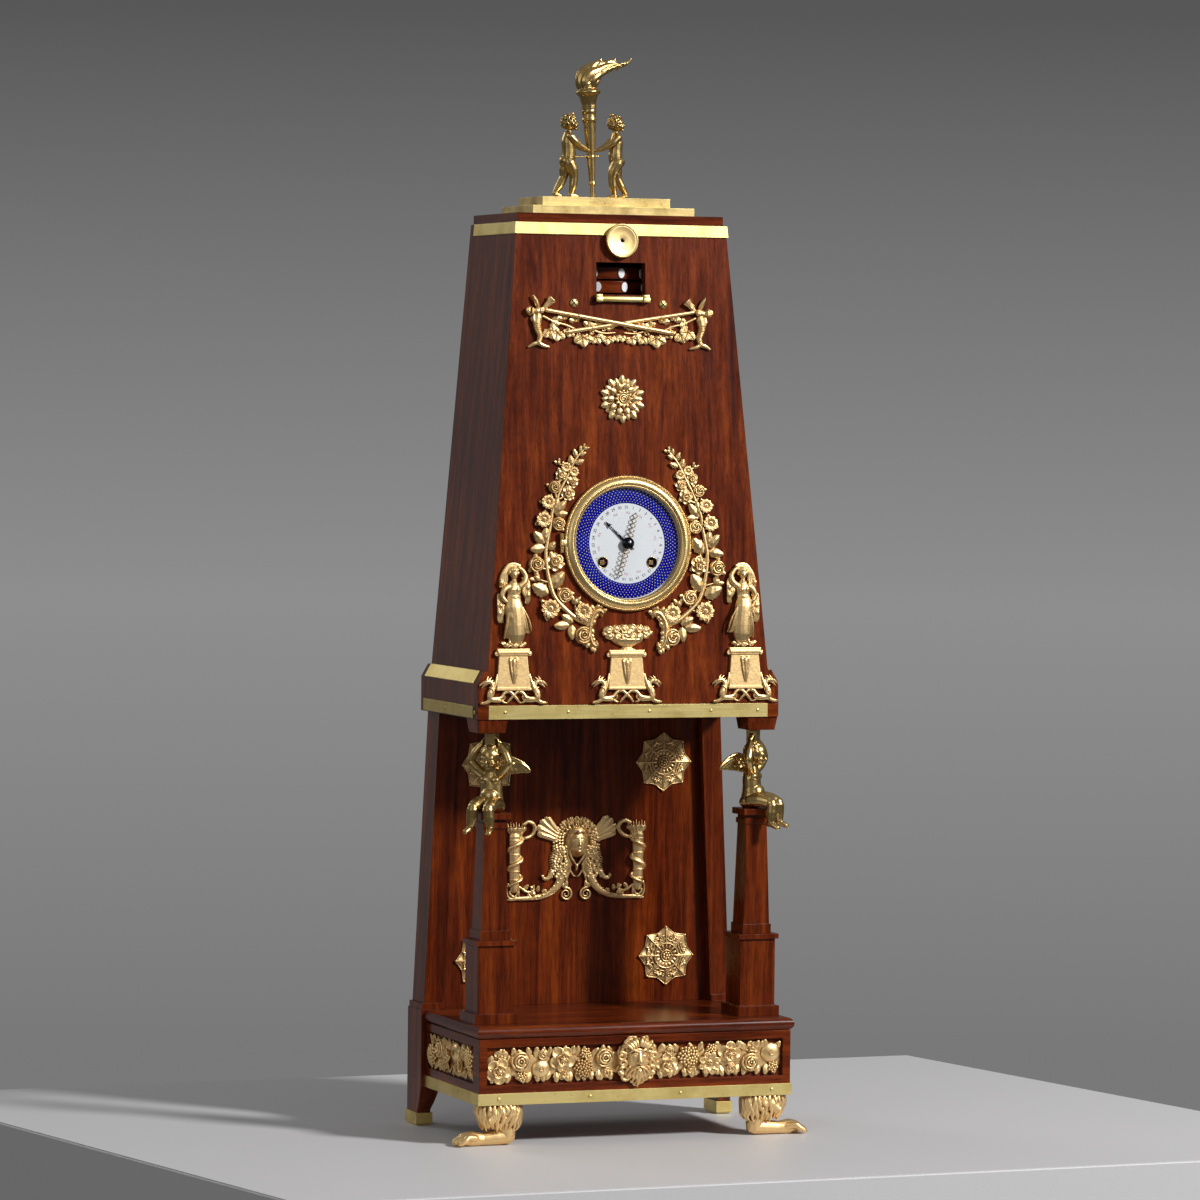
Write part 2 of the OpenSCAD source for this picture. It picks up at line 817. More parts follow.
module front_shafts() {
    shaft_z = plinth_top_z + shaft_foot_h;
    neck_z = shaft_z + shaft_h;
    fillet_half = shaft_high_half + 1.1;
    color(wood)
        for (s = [-1, 1])
            translate([s * pillar_x, -pillar_y, 0])
                union() {
                    block([-shaft_foot_half, -shaft_foot_half, plinth_top_z],
                          [shaft_foot_half, shaft_foot_half, shaft_z]);
                    taper_block(0, 0, shaft_z - eps, shaft_low_half, shaft_high_half, shaft_h);
                    block([-fillet_half, -fillet_half, neck_z - 0.02],
                          [fillet_half, fillet_half, neck_z + shaft_neck_h * 0.58]);
                    block([-shaft_high_half, -shaft_high_half, neck_z],
                          [shaft_high_half, shaft_high_half, neck_z + shaft_neck_h + eps]);
                    block([-seat_half, -seat_half, seat_z - seat_t], [seat_half, seat_half, seat_z]);
                }
}

/* Seated putti: each sits on a shaft, looks outwards and bears a corner block */

putto_head_z = 42;
putto_post_half = 4.5;

module putto_wing(s) {
    translate([s * 2, 4.5, 32])
        rotate([0, 0, s * 30])
            rotate([90, 0, 0])
                linear_extrude(2, center = true)
                    polygon([
                        [0, -4], [s * 4, 4], [s * 16, 10], [s * 30, 10],
                        [s * 29, 6], [s * 22, 0], [s * 12, -5], [s * 5, -9]
                    ]);
}

module seated_putto() {
    // The post on the head reaches up to the corner block, which stands a little to one side
    k = putto_h / 52;
    post_h = (floor_z - corner_h - seat_z - 0.05) / k;
    scale(k)
        union() {
            limb([-6, 1, 31], 4, [6, 1, 31], 4);
            limb([0, 0.5, 33], 3.6, [0, -1, 40], 3.6);
            limb([0, -1, putto_head_z - 0.5], 7.7, [0, 0, putto_head_z + 2.5], 7.9);
            for (s = [-1, 1]) {
                limb([s * 3, 1.5, 7.6], 7.3, [s * 2.6, 0.5, 17], 7);
                limb([s * 2.6, 0.5, 17], 7, [s * 3.2, 1, 29], 6);
                limb([s * 4.8, -1, 5.9], 5.7, [s * 6.8, -20, 4.8], 4.6);
                limb([s * 6.8, -20, 4], 4.4, [s * 6.4, -20.5, -11], 2.9);
                limb([s * 6.4, -20, -13.6], 2.9, [s * 7, -28, -15.4], 2.2);
                limb([s * 8, 0.5, 31.5], 3.6, [s * 15, -3, 41], 3.1);
                limb([s * 15, -3, 41], 3, [s * 7, 0, 55], 2.5);
                limb([s * 7, 0, 55], 2.6, [s * 5.6, 0, 58], 2.9);
                putto_wing(s);
            }
            block([-putto_post_half, -putto_post_half, putto_head_z],
                  [putto_post_half, putto_post_half, post_h]);
        }
}

module seated_putti() {
    color(gilt)
        for (s = [-1, 1])
            translate([s * pillar_x, -pillar_y, seat_z + 0.05])
                rotate(s * 45)
                    seated_putto();
}

module corner_blocks() {
    color(wood)
        for (s = [-1, 1])
            taper_block(s * corner_x, -corner_y, floor_z - corner_h,
                        corner_low_half, corner_high_half, corner_h);
}

/* Case */

// Outline of the case seen from the front, from z low to the head
module case_outline(inset, low) {
    w = case_half_w - inset;
    points = [
        [w, low], [w, block_top_z], [w - bevel_in, bevel_top_z],
        [pyramid_foot_half - inset, bevel_top_z], [pyramid_head_half - inset, head_z]
    ];
    mirrored = [for (i = [len(points) - 1 : -1 : 0]) [-points[i][0], points[i][1]]];
    polygon(concat(points, mirrored));
}

// The case outline as a prism that runs through the whole depth
module case_prism(inset, low) {
    rotate([90, 0, 0])
        linear_extrude(far, center = true)
            case_outline(inset, low);
}

// The space between two planes parallel to the sloping front, then back to y
module behind_face(set_back, y) {
    rotate([90, 0, 90])
        linear_extrude(far, center = true)
            polygon([
                [-face_depth(case_z) + set_back, case_z], [-face_depth(head_z) + set_back, head_z],
                [y, head_z], [y, case_z]
            ]);
}

module case_floor() {
    strip_half = case_half_w - band_corner;
    color(wood)
        difference() {
            block([-case_half_w, -face_foot, floor_z], [case_half_w, back_y, case_z]);
            block(
                [-strip_half, -face_foot - 1, floor_z - 1],
                [strip_half, -face_foot + band_t, case_z + 1]
            );
        }
}

shelf_z = case_z + window_z - 6.6;
shelf_screw_z = case_z + window_z - 7.2;
knob_cz = case_z + window_z + window_h + knob_z;

module case_front() {
    color(wood)
        difference() {
            intersection() {
                case_prism(0, case_z);
                difference() {
                    behind_face(0, back_y);
                    behind_face(front_t, back_y + 1);
                }
            }
            on_face(dial_cz)
                cylinder(h = 60, r = dial_hole_r, center = true);
            on_face(knob_cz, window_x)
                cylinder(h = 60, r = knob_shaft_r + run_gap, center = true);
            for (s = [-1, 1])
                on_face(shelf_screw_z, garland_x + s * shelf_screw_x)
                    cylinder(h = 60, r = screw_r + run_gap, center = true);
            block([window_x - window_w / 2, -face_foot, case_z + window_z],
                  [window_x + window_w / 2, back_y - 20, case_z + window_z + window_h]);
        }
}

module case_sides() {
    color(wood)
        intersection() {
            difference() {
                case_prism(0, case_z);
                case_prism(side_t, case_z - 1);
            }
            behind_face(front_t, back_y);
            union() {
                block([side_t, -far, case_z], [far, back_y, head_z]);
                block([-far, -far, case_z], [-side_t, back_y, head_z]);
            }
        }
}

door_low = case_z + door_z;
door_high = door_low + door_h;
door_t = back_t - 3;
door_y = back_y + 1 + door_t / 2;
door_axis_x = -door_w / 2 + door_gap + door_t / 2;

module back_board() {
    color(wood)
        difference() {
            union() {
                translate([0, rear_y, 0])
                    rotate([90, 0, 0])
                        linear_extrude(back_t)
                            case_outline(0, floor_z - eps);
                translate([0, rear_y, 0])
                    rotate([90, 0, 0])
                        linear_extrude(back_t)
                            polygon([
                                [-upright_x(gallery_z), gallery_z], [upright_x(gallery_z), gallery_z],
                                [upright_x(floor_z), floor_z], [-upright_x(floor_z), floor_z]
                            ]);
            }
            both_sides()
                block([upright_x(gallery_z) - post_w, back_y - 1, gallery_z - 1],
                      [far, rear_y + 1, gallery_z + shoulder_h]);
            block([-door_w / 2, back_y - 1, door_low], [door_w / 2, rear_y + 1, door_high]);
            translate([door_axis_x, door_y, door_low - door_pin_l - 0.5])
                cylinder(h = door_h + 2 * door_pin_l + 1, r = door_pin_r + run_gap);
        }
}

module back_door() {
    color(wood)
        union() {
            translate([door_axis_x, door_y, door_low + door_gap])
                cylinder(h = door_h - 2 * door_gap, r = door_t / 2);
            block([door_axis_x, door_y - door_t / 2, door_low + door_gap],
                  [door_w / 2 - door_gap, door_y + door_t / 2, door_high - door_gap]);
            translate([door_axis_x, door_y, door_low - door_pin_l])
                cylinder(h = door_h + 2 * door_pin_l, r = door_pin_r);
        }
}

module door_knob() {
    y = door_y + door_t / 2;
    color(brass)
        translate([door_w / 2 - 9, y, (door_low + door_high) / 2])
            rotate([-90, 0, 0])
                union() {
                    cylinder(h = door_knob_l * 0.2, r = 5);
                    cylinder(h = door_knob_l * 0.7, r = 2.4);
                    translate([0, 0, door_knob_l * 0.5])
                        cylinder(h = door_knob_l * 0.5, r1 = 3.2, r2 = 4.6);
                }
}

module cornice_board() {
    half = pyramid_head_half - cornice_in;
    color(wood)
        block([-half, -face_head + cornice_in, head_z], [half, rear_y - cornice_in, slab_low_z]);
}

// The strips let into or laid on the foot of the case, and those on the bevels
module lower_bands() {
    strip_half = case_half_w - band_corner - 0.1;
    bevel_angle = atan(bevel_in / bevel_h);
    bevel_l = bevel_h / cos(bevel_angle);
    z = floor_z + (floor_t - band_h) / 2;
    color(gilt) {
        block([-strip_half, -face_foot, floor_z], [strip_half, -face_foot + band_t - 0.05, case_z]);
        both_sides() {
            block([case_half_w, -face_foot + band_corner, z],
                  [case_half_w + band_t, rear_y - 9, z + band_h]);
            translate([case_half_w, 0, block_top_z])
                rotate([0, -bevel_angle, 0])
                    block([0, -face_foot + band_corner, 0], [band_t, back_y, bevel_l]);
        }
    }
}

// A band round the front and both sides of the case head
module top_band() {
    low = head_z - band_h;
    color(gilt)
        intersection() {
            difference() {
                translate([0, -band_t, 0])
                    rotate([90, 0, 0])
                        linear_extrude(far, center = true)
                            polygon([
                                [-side_half(low) - band_t, low], [side_half(low) + band_t, low],
                                [side_half(head_z) + band_t, head_z],
                                [-side_half(head_z) - band_t, head_z]
                            ]);
                intersection() {
                    case_prism(0, case_z);
                    behind_face(0, far);
                }
            }
            difference() {
                behind_face(-band_t, back_y);
                on_face(knob_cz, window_x)
                    cylinder(h = 60, r = knob_shaft_r + 1, center = true);
            }
        }
}

/* Finial */

module finial_slabs() {
    color(gilt) {
        block([-slab_low_half, slab_rear - slab_low_d, slab_low_z],
              [slab_low_half, slab_rear, slab_high_z]);
        block([-slab_high_half, slab_rear - slab_high_d, slab_high_z + 0.02],
              [slab_high_half, slab_rear - 0.1, finial_z]);
    }
}

torch_y = slab_rear - slab_high_d / 2;

// Turned outline of the torch: radii as shares of the bowl's, heights as shares of the torch's
torch_turning = [
    [0, -0.01], [0.19, -0.01], [0.19, 0.115], [0.27, 0.125], [0.29, 0.135], [0.25, 0.155],
    [0.27, 0.23], [0.355, 0.4], [0.435, 0.57], [0.51, 0.7], [0.59, 0.715], [0.59, 0.785],
    [0.54, 0.8], [0.61, 0.87], [0.76, 0.95], [1, 0.965], [1, 0.98], [0.85, 1], [0, 1]
];

// The torch and the thin rail through it, on which the two children have their hands
module torch() {
    h = torch_h;
    rail_z = h * 0.385;
    color(gilt)
        translate([torch_x, torch_y, finial_z])
            union() {
                rotate([0, -torch_lean, 0])
                    union() {
                        intersection() {
                            rotate_extrude()
                                polygon([
                                    for (p = torch_turning)
                                        [p[0] * torch_r, p[1] * h]
                                ]);
                            rotate([0, torch_lean, 0])
                                block([-far, -far, 0.02], [far, far, far]);
                        }
                        torch_flame();
                    }
                translate([-16.6, 0, rail_z])
                    rotate([0, 90, 0])
                        cylinder(h = 23.4, r = 0.7, $fn = 20);
            }
}

// Flames that stream to the right from the rim of the bowl
module torch_flame() {
    h = flame_h;
    z = torch_h - 3;
    limb([-1, 0, z + 1], 7, [-1, 0, z + h * 0.42], 8);
    limb([-1, 0, z + h * 0.45], 8, [8, 0, z + h * 0.74], 6);
    limb([2, 2, z + h * 0.4], 6, [14, -2, z + h * 0.66], 4.6);
    limb([8, 0, z + h * 0.76], 6, [20, 1, z + h * 0.86], 4);
    limb([20, 1, z + h * 0.86], 4, [32, 0, z + h * 0.78], 2.4);
    limb([32, 0, z + h * 0.78], 2.2, [39.5, 0, z + h * 0.97], 0.9);
    limb([12, 0, z + h * 0.84], 3, [12, 0, z + h], 1.2);
    limb([24, 0, z + h * 0.84], 2.6, [25, 0, z + h * 1.02], 1);
}

// A walking putto that looks along +x and reaches for the torch
module torch_putto() {
    k = torch_putto_h / 70;
    scale(k)
        union() {
            limb([-0.4, 0, 31], 6, [0, 0, 40], 5.6);
            limb([0, 0, 40], 5.6, [0.5, 0, 50], 5.2);
            limb([0.5, 0, 52], 2.8, [1.2, 0, 57], 3);
            limb([1.4, 0, 61.5], 6.9, [0.6, 0, 62.9], 7);
            for (s = [-1, 1]) {
                limb([0.5, s * 5, 50.8], 3, [7, s * 4.6, 44], 2.5);
                limb([7, s * 4.6, 44], 2.4, [15.4, s * 3.4, 39], 1.8);
            }
            limb([0, -3, 29], 5.2, [4, -3.2, 17], 3.8);
            limb([4, -3.2, 17], 3.7, [2.5, -3.4, 4], 2.3);
            limb([2.5, -3.4, 2.2], 2.1, [8, -3.6, 1.4], 1.4);
            limb([-0.4, 3, 29], 5.2, [-2.4, 3.2, 17], 3.8);
            limb([-2.4, 3.2, 17], 3.7, [-9.5, 3.4, 5], 2.3);
            limb([-9.5, 3.4, 3.2], 2.1, [-4, 3.6, 1.5], 1.5);
        }
}

module torch_putti() {
    lean_shift = torch_h * 0.4 * tan(torch_lean);
    color(gilt)
        for (s = [-1, 1])
            translate([torch_x - lean_shift / 2 - s * torch_putto_x, torch_y, finial_z + 0.02])
                intersection() {
                    scale([s, 1, 1])
                        torch_putto();
                    block([-60, -60, 0], [60, 60, 100]);
                }
}

/* Number rings and their window */

screw_r = 2;
knob_shaft_r = 2;
ring_y = -face_depth(case_z + window_z + window_h / 2) + ring_set_back + ring_r;
ring_low_z = case_z + window_z + 1.8;
ring_high_z = ring_low_z + ring_h + ring_gap;
spindle_top_z = ring_high_z + ring_h + 4;

module window_sill() {
    half = window_w / 2 + 2.2;
    block_w = 6;
    color(gilt)
        on_face(case_z + window_z, window_x)
            union() {
                block([-half, -6, 0.1], [half, -1.6, 4.4]);
                for (s = [-1, 1])
                    translate([s * (half - block_w / 2) - block_w / 2, 0, 0])
                        block([0, -6.4, 0.1], [block_w, -0.1, 5.6]);
            }
}

// Shelf behind the window, with the spindle on which the rings turn
module ring_shelf() {
    front_y = -face_depth(shelf_z) + front_t + 0.3;
    lug_h = 9;
    color(wood_dark)
        difference() {
            union() {
                block([window_x - 46, front_y, shelf_z], [window_x + 46, back_y - 1.5, shelf_z + 4]);
                for (s = [-1, 1])
                    intersection() {
                        on_face(shelf_screw_z, garland_x + s * shelf_screw_x)
                            block([-7, -lug_h / 2, -front_t - 6], [7, lug_h / 2 + 4, -front_t - 0.02]);
                        block([-far, -far, shelf_z - 8], [far, far, shelf_z + 4]);
                    }
                translate([window_x, ring_y, shelf_z])
                    cylinder(h = spindle_top_z - shelf_z, r = spindle_r);
                translate([window_x, ring_y, shelf_z])
                    cylinder(h = ring_low_z - shelf_z - 0.1, r = spindle_r + 3);
            }
            for (s = [-1, 1])
                on_face(shelf_screw_z, garland_x + s * shelf_screw_x)
                    cylinder(h = 60, r = screw_r + run_gap, center = true);
        }
}

module shelf_screws() {
    color(steel)
        for (s = [-1, 1])
            on_face(shelf_screw_z, garland_x + s * shelf_screw_x)
                difference() {
                    union() {
                        shaft(screw_r, -front_t - 9, 0.1);
                        shaft(3.4, 0.05, 1.3);
                    }
                    for (a = [45, 135])
                        rotate(a)
                            translate([0, 0, 1.3])
                                cube([8, 0.7, 0.9], center = true);
                }
}

// Oval enamel plaques laid round a ring, the first at the given angle from the front
module ring_cartouches(z, first) {
    color(enamel)
        translate([window_x, ring_y, z + ring_h / 2])
            for (i = [0 : cartouches - 1])
                rotate(first + i * 360 / cartouches)
                    translate([0, -ring_r - 0.02, 0])
                        rotate([90, 0, 0])
                            scale([0.7, 1, 1])
                                cylinder(h = 1, r = 3.9, $fn = 24);
}

// A wooden ring on three spokes and a hub, whose middle is bored for the spindle
module number_ring(z) {
    rim = 5;
    color(wood)
        translate([window_x, ring_y, z])
            difference() {
                union() {
                    difference() {
                        cylinder(h = ring_h, r = ring_r, $fn = 96);
                        translate([0, 0, -1])
                            cylinder(h = ring_h + 2, r = ring_r - rim, $fn = 96);
                    }
                    for (a = [30, 150, 270])
                        rotate(a)
                            translate([0, -4, 1])
                                cube([ring_r - rim / 2, 8, 3]);
                    cylinder(h = ring_h, r = spindle_r + 3);
                }
                translate([0, 0, -1])
                    cylinder(h = ring_h + 2, r = spindle_r + run_gap);
            }
}

// Directions of the first plaque of each ring, in degrees to the right of the front
lower_turned = 11;
upper_turned = 7;

module lower_ring() {
    number_ring(ring_low_z);
}

module upper_ring() {
    number_ring(ring_high_z);
}

module lower_cartouches() {
    ring_cartouches(ring_low_z, lower_turned);
}

module upper_cartouches() {
    ring_cartouches(ring_high_z, upper_turned);
}

// Dished knob on a shaft through the front board
module turning_knob() {
    color(gilt)
        on_face(knob_cz, window_x)
            union() {
                rotate_extrude($fn = 72)
                    polygon([
                        [0, 1.6], [knob_r - 2, 1.6], [knob_r, 2.6], [knob_r, 5.2], [knob_r - 1, 5.8],
                        [knob_r - 2.4, 5.8], [knob_r * 0.4, 4.6], [knob_r * 0.16, 5.4], [1.4, 8], [0, 8.4]
                    ]);
                shaft(knob_shaft_r, -front_t - 8, 2);
                shaft(knob_shaft_r + 2.4, -front_t - 3, -front_t - 0.4);
            }
}

/* Mounts on the front board */

// Crossed staffs over a vine, with a knot of flowers and a hanging ribbon at each end
module staff_garland() {
    h = garland_half;
    color(gilt)
        on_face(case_z + garland_z, garland_x)
            union() {
                linear_extrude(mount_t * 0.6)
                    union() {
                        for (s = [-1, 1]) {
                            for (i = [0 : 5])
                                translate([s * (4 + i * 10.4), -6 + 0.1 * i * i])
                                    rotate(s * 20 * (i % 2 == 0 ? 1 : -1) + 180 * (i % 2))
                                        translate([0, -4.5])
                                            leaf(11, 8.5);
                            translate([s * 32, -4.6])
                                rotate(-s * 2.5)
                                    square([66, 2.2], center = true);
                            polygon([
                                [s * (h - 14), 6], [s * (h - 7), 4], [s * (h - 9), -8],
                                [s * (h - 11), -12], [s * (h - 6), -20.5], [s * (h - 3), -19],
                                [s * (h - 1), -20.5], [s * (h - 5), -22.5], [s * (h - 15), -22.5],
                                [s * (h - 18), -21], [s * (h - 12), -19], [s * (h - 15), -10]
                            ]);
                            translate([s * (h - 5.2), 10])
                                circle(5.2);
                            translate([s * (h - 15.5), 7])
                                circle(5.6);
                            for (a = [20, -45])
                                translate([s * (h - 14), 8])
                                    rotate(s * a)
                                        leaf(14, 6);
                        }
                    }
                for (s = [-1, 1])
                    translate([-s * 8.9, -0.8, mount_t * 0.5])
                        rotate(-s * 9)
                            translate([-55, -1.7, 0])
                                cube([110, 3.4, mount_t * 0.6]);
            }
}

// A flower with two rows of petals
module rosette() {
    r = rosette_r;
    color(gilt)
        on_face(case_z + rosette_z, -2.5)
            union() {
                linear_extrude(mount_t * 0.6)
                    for (i = [0 : 11])
                        rotate(i * 30)
                            translate([0, r * 0.83])
                                circle(r * 0.17, $fn = 20);
                cylinder(h = mount_t * 0.6, r = r * 0.88);
                linear_extrude(mount_t + 0.8)
                    for (i = [0 : 9])
                        rotate(i * 36)
                            translate([0, r * 0.5])
                                circle(r * 0.19, $fn = 20);
                cylinder(h = mount_t + 0.4, r = r * 0.5);
                cylinder(h = mount_t + 3, r1 = r * 0.26, r2 = r * 0.14);
            }
}

// Points along the stem of a branch, as shares of the wreath's half width and rise
STEM = [
    [0.42, -0.94], [0.594, -0.87], [0.76, -0.74], [0.884, -0.575], [0.96, -0.384], [0.999, -0.137],
    [0.988, 0.082], [0.932, 0.288], [0.85, 0.493], [0.746, 0.685], [0.628, 0.863], [0.52, 1]
];

// Places of the flowers in the same shares, and their size as a share of the largest
FLOWERS = [
    [0.532, -1.02, 0.97], [0.532, -0.788, 0.88], [0.898, -0.767, 1], [0.76, -0.61, 0.88],
    [0.877, -0.24, 0.93], [1.094, -0.295, 0.93], [0.884, 0.205, 0.74], [1.064, 0.192, 0.91],
    [0.753, 0.466, 0.77], [0.932, 0.555, 0.77], [0.69, 0.637, 0.67], [0.833, 0.726, 0.72],
    [0.635, 0.774, 0.57], [0.732, 0.836, 0.57], [0.594, 0.884, 0.48], [0.644, 0.932, 0.45]
];

// The two curled leaves at the foot of a branch, in shares of the half width
UPPER_SCROLL = [
    [0.407, -0.939], [0.449, -0.939], [0.442, -0.856], [0.394, -0.78], [0.311, -0.745],
    [0.256, -0.776], [0.276, -0.826], [0.325, -0.808], [0.373, -0.849]
];
LOWER_SCROLL = [
    [0.407, -0.939], [0.456, -0.932], [0.463, -1.05], [0.414, -1.146], [0.352, -1.188],
    [0.325, -1.146], [0.38, -1.098], [0.398, -1.022]
];

function wreath_point(share) = [wreath_half * share[0], wreath_rise * share[1]];

function stem_edge(i, out) = wreath_point(STEM[i]) * (1 + out / norm(wreath_point(STEM[i])));

function stem_way(i) =
    let (ahead = wreath_point(STEM[i + 1]) - wreath_point(STEM[i - 1]))
    atan2(ahead[1], ahead[0]);

// One branch: a stem round the dial, flowers and leaves on both sides, two curled leaves below
module wreath_branch() {
    last = len(STEM) - 1;
    linear_extrude(mount_t * 0.6)
        union() {
            polygon(concat(
                [for (i = [0 : last]) stem_edge(i, 1.2)],
                [for (i = [last : -1 : 0]) stem_edge(i, -1.2)]
            ));
            polygon(wreath_half * UPPER_SCROLL);
            polygon(wreath_half * LOWER_SCROLL);
            for (i = [1 : last - 1]) {
                grow = 1 - 0.35 * i / last;
                for (side = [-1, 1])
                    translate(wreath_point(STEM[i]))
                        rotate(stem_way(i) - 90 + side * 52)
                            leaf(14 * grow, 8.5 * grow);
            }
            translate(wreath_point(STEM[last - 1]))
                rotate(40)
                    leaf(15, 5);
            for (f = FLOWERS)
                translate(wreath_point(f))
                    circle(flower_r * f[2], $fn = 20);
        }
    for (f = FLOWERS)
        translate(wreath_point(f))
            cylinder(
                h = mount_t + 2, r1 = flower_r * f[2] * 0.8, r2 = flower_r * f[2] * 0.45, $fn = 20
            );
}

module wreath_branches() {
    color(gilt)
        on_face(dial_cz)
            both_sides()
                wreath_branch();
}

// A tapering block under a cornice, on two dragons whose tails cross in the middle
module pedestal(half, h, reach) {
    foot = 12;
    top = h - 4.5;
    top_half = half - 2.5;
    scroll_r = 2.2;
    union() {
        linear_extrude(mount_t)
            union() {
                polygon([
                    [-half, foot], [half, foot], [top_half, top], [-top_half, top]
                ]);
                translate([0, h - 2.3])
                    square([2 * top_half + 3.6, 4.6], center = true);
                for (s = [-1, 1]) {
                    translate([s * (top_half + 1.6), h - 4.4])
                        circle(scroll_r, $fn = 20);
                    polygon([
                        [0, foot + 1], [s * 6, foot - 2.5], [s * (half - 2), 3.4], [s * reach, 2.6],
                        [s * reach, 0], [s * (half - 4), 0], [0, foot - 5]
                    ]);
                    polygon([
                        [s * (half - 4), 2], [s * (half - 1), foot + 12], [s * (half + 1.4), foot + 5],
                        [s * (reach - 11), foot + 6], [s * (reach - 7.5), foot + 8.6],
                        [s * (reach + 0.2), foot + 4.4], [s * (reach - 4), foot + 2.6],
                        [s * (reach - 7.5), foot + 1.6], [s * (reach - 7), foot - 3],
                        [s * (reach - 4.6), 2]
                    ]);
                }
            }
        linear_extrude(mount_t + 1.2)
            translate([0, top])
                rotate(180)
                    leaf(h * 0.5, 7);
        translate([0, h - 2.6, 0])
            linear_extrude(mount_t + 1.2)
                square([2 * top_half + 2.8, 2.2], center = true);
    }
}

ped_z = case_z + 0.6;

// The fire altar in the middle
module altar_mount() {
    h = pedestal_h - 1.5;
    flame_in = 1.2;
    color(gilt)
        on_face(ped_z, altar_x)
            union() {
                pedestal(altar_half, h, dragon_half + 1.6);
                translate([flame_in, h - eps, 0])
                    linear_extrude(mount_t)
                        union() {
                            polygon([
                                [-7, 0], [7, 0], [4.5, 2.5], [13, 7.5], [14, 9],
                                [-14, 9], [-13, 7.5], [-4.5, 2.5]
                            ]);
                            translate([0, 13.2])
                                square([31, 9], center = true);
                            for (x = [-15.6, -9.4, -3.1, 3.1, 9.4, 15.6])
                                translate([x, 15.5])
                                    circle(5.2, $fn = 20);
                        }
                for (x = [-14.5, -5, 5, 14.5])
                    translate([flame_in + x, h + 14.5, 0])
                        cylinder(h = mount_t + 3, r1 = 5.5, r2 = 3, $fn = 20);
            }
}

module side_pedestals() {
    color(gilt)
        for (s = [-1, 1])
            on_face(ped_z, s * pedestal_x)
                pedestal(pedestal_half, pedestal_h, dragon_half);
}

// A dancing figure in a long dress, one arm raised with a scarf
module dancer() {
    k = dancer_h / 69;
    scale(k)
        intersection() {
            union() {
                limb([-2, 1.5, 1.5], 2, [-3, 9, 3], 3.2);
                limb([6, 2, 1.5], 2, [5, 9, 3], 3.2);
                limb([-1, 11, 3], 5.6, [1, 29, 4], 6.6);
                limb([3, 10, 3], 5, [3, 27, 4], 6.2);
                limb([1, 33, 4], 5.4, [0, 42, 4], 4.4);
                limb([0, 43, 4], 4.6, [0, 50, 4], 4.8);
                limb([0, 52, 4], 2, [0, 56, 4.5], 2.2);
                limb([0, 59, 4.5], 4.4, [0, 61.5, 4.2], 4.4);
                limb([5, 51, 4], 2.2, [11, 58, 3.6], 2);
                limb([11, 58, 3.6], 2, [5, 66, 3.4], 1.8);
                limb([-5, 51, 4], 2.2, [-10, 43, 4], 2);
                limb([-10, 43, 4], 2, [-12, 34, 3], 1.8);
                limb([-12, 36, 2.4], 2.4, [-10, 20, 2.4], 3);
                limb([5, 66, 2.4], 1.8, [-8, 62, 2.4], 2.4);
                limb([4, 26, 3.2], 5.4, [9.5, 14.5, 2.6], 3.8);
                limb([11, 54, 2.4], 2.2, [12.4, 40, 2.4], 2.6);
                limb([-9, 3.4, 2.2], 3.3, [8, 3, 2.2], 2.8);
            }
            block([-30, 0, 0.02], [30, 69, 20]);
        }
}

module dancing_figures() {
    color(gilt)
        for (s = [-1, 1])
            on_face(ped_z + pedestal_h + 0.4, s * (pedestal_x - 1))
                scale([-s, 1, 1])
                    dancer();
}

/* Dial, bezel and hands */

date_pipe_r = 2.9;
hour_pipe_r = 2;
minute_pipe_r = 1.1;
hand_t = 0.6;
foot_spots = [30, 150, 270];
foot_ring = 40;

module dial_plate() {
    color(enamel)
        on_face(dial_cz)
            difference() {
                union() {
                    shaft(dial_hole_r - 0.5, -dial_t, 0);
                    for (a = foot_spots)
                        rotate(a)
                            translate([foot_ring, 0, 0])
                                shaft(1.4, -front_t, -dial_t + eps);
                }
                shaft(date_pipe_r + run_gap, -5, 5);
                for (s = [-1, 1])
                    translate([s * wind_x, -wind_z, 0])
                        shaft(wind_hole_r, -5, 5);
            }
}

hinge_gap = 0.3;
hinge_c = 3;
hinge_pin_r = 0.8;
knuckle_r = 1.6;
hinge_x = -bezel_r - knuckle_r - hinge_gap;
knuckle_l = 5;

// Lugs on the front board that hold the bezel's hinge pin
module bezel_hinge() {
    color(brass)
        on_face(dial_cz)
            union() {
                translate([hinge_x, -1.5 * knuckle_l - 0.2, hinge_c])
                    rotate([-90, 0, 0])
                        shaft(hinge_pin_r, 0, 3 * knuckle_l + 0.4);
                for (y = [-1.5 * knuckle_l - 0.2, 0.5 * knuckle_l + 0.2])
                    difference() {
                        union() {
                            translate([hinge_x, y, hinge_c])
                                rotate([-90, 0, 0])
                                    shaft(knuckle_r, 0, knuckle_l);
                            block(
                                [hinge_x - knuckle_r, y, 0.02],
                                [hinge_x + 0.4, y + knuckle_l, hinge_c]
                            );
                        }
                        shaft(bezel_r + 0.3, -1, 9);
                    }
            }
}

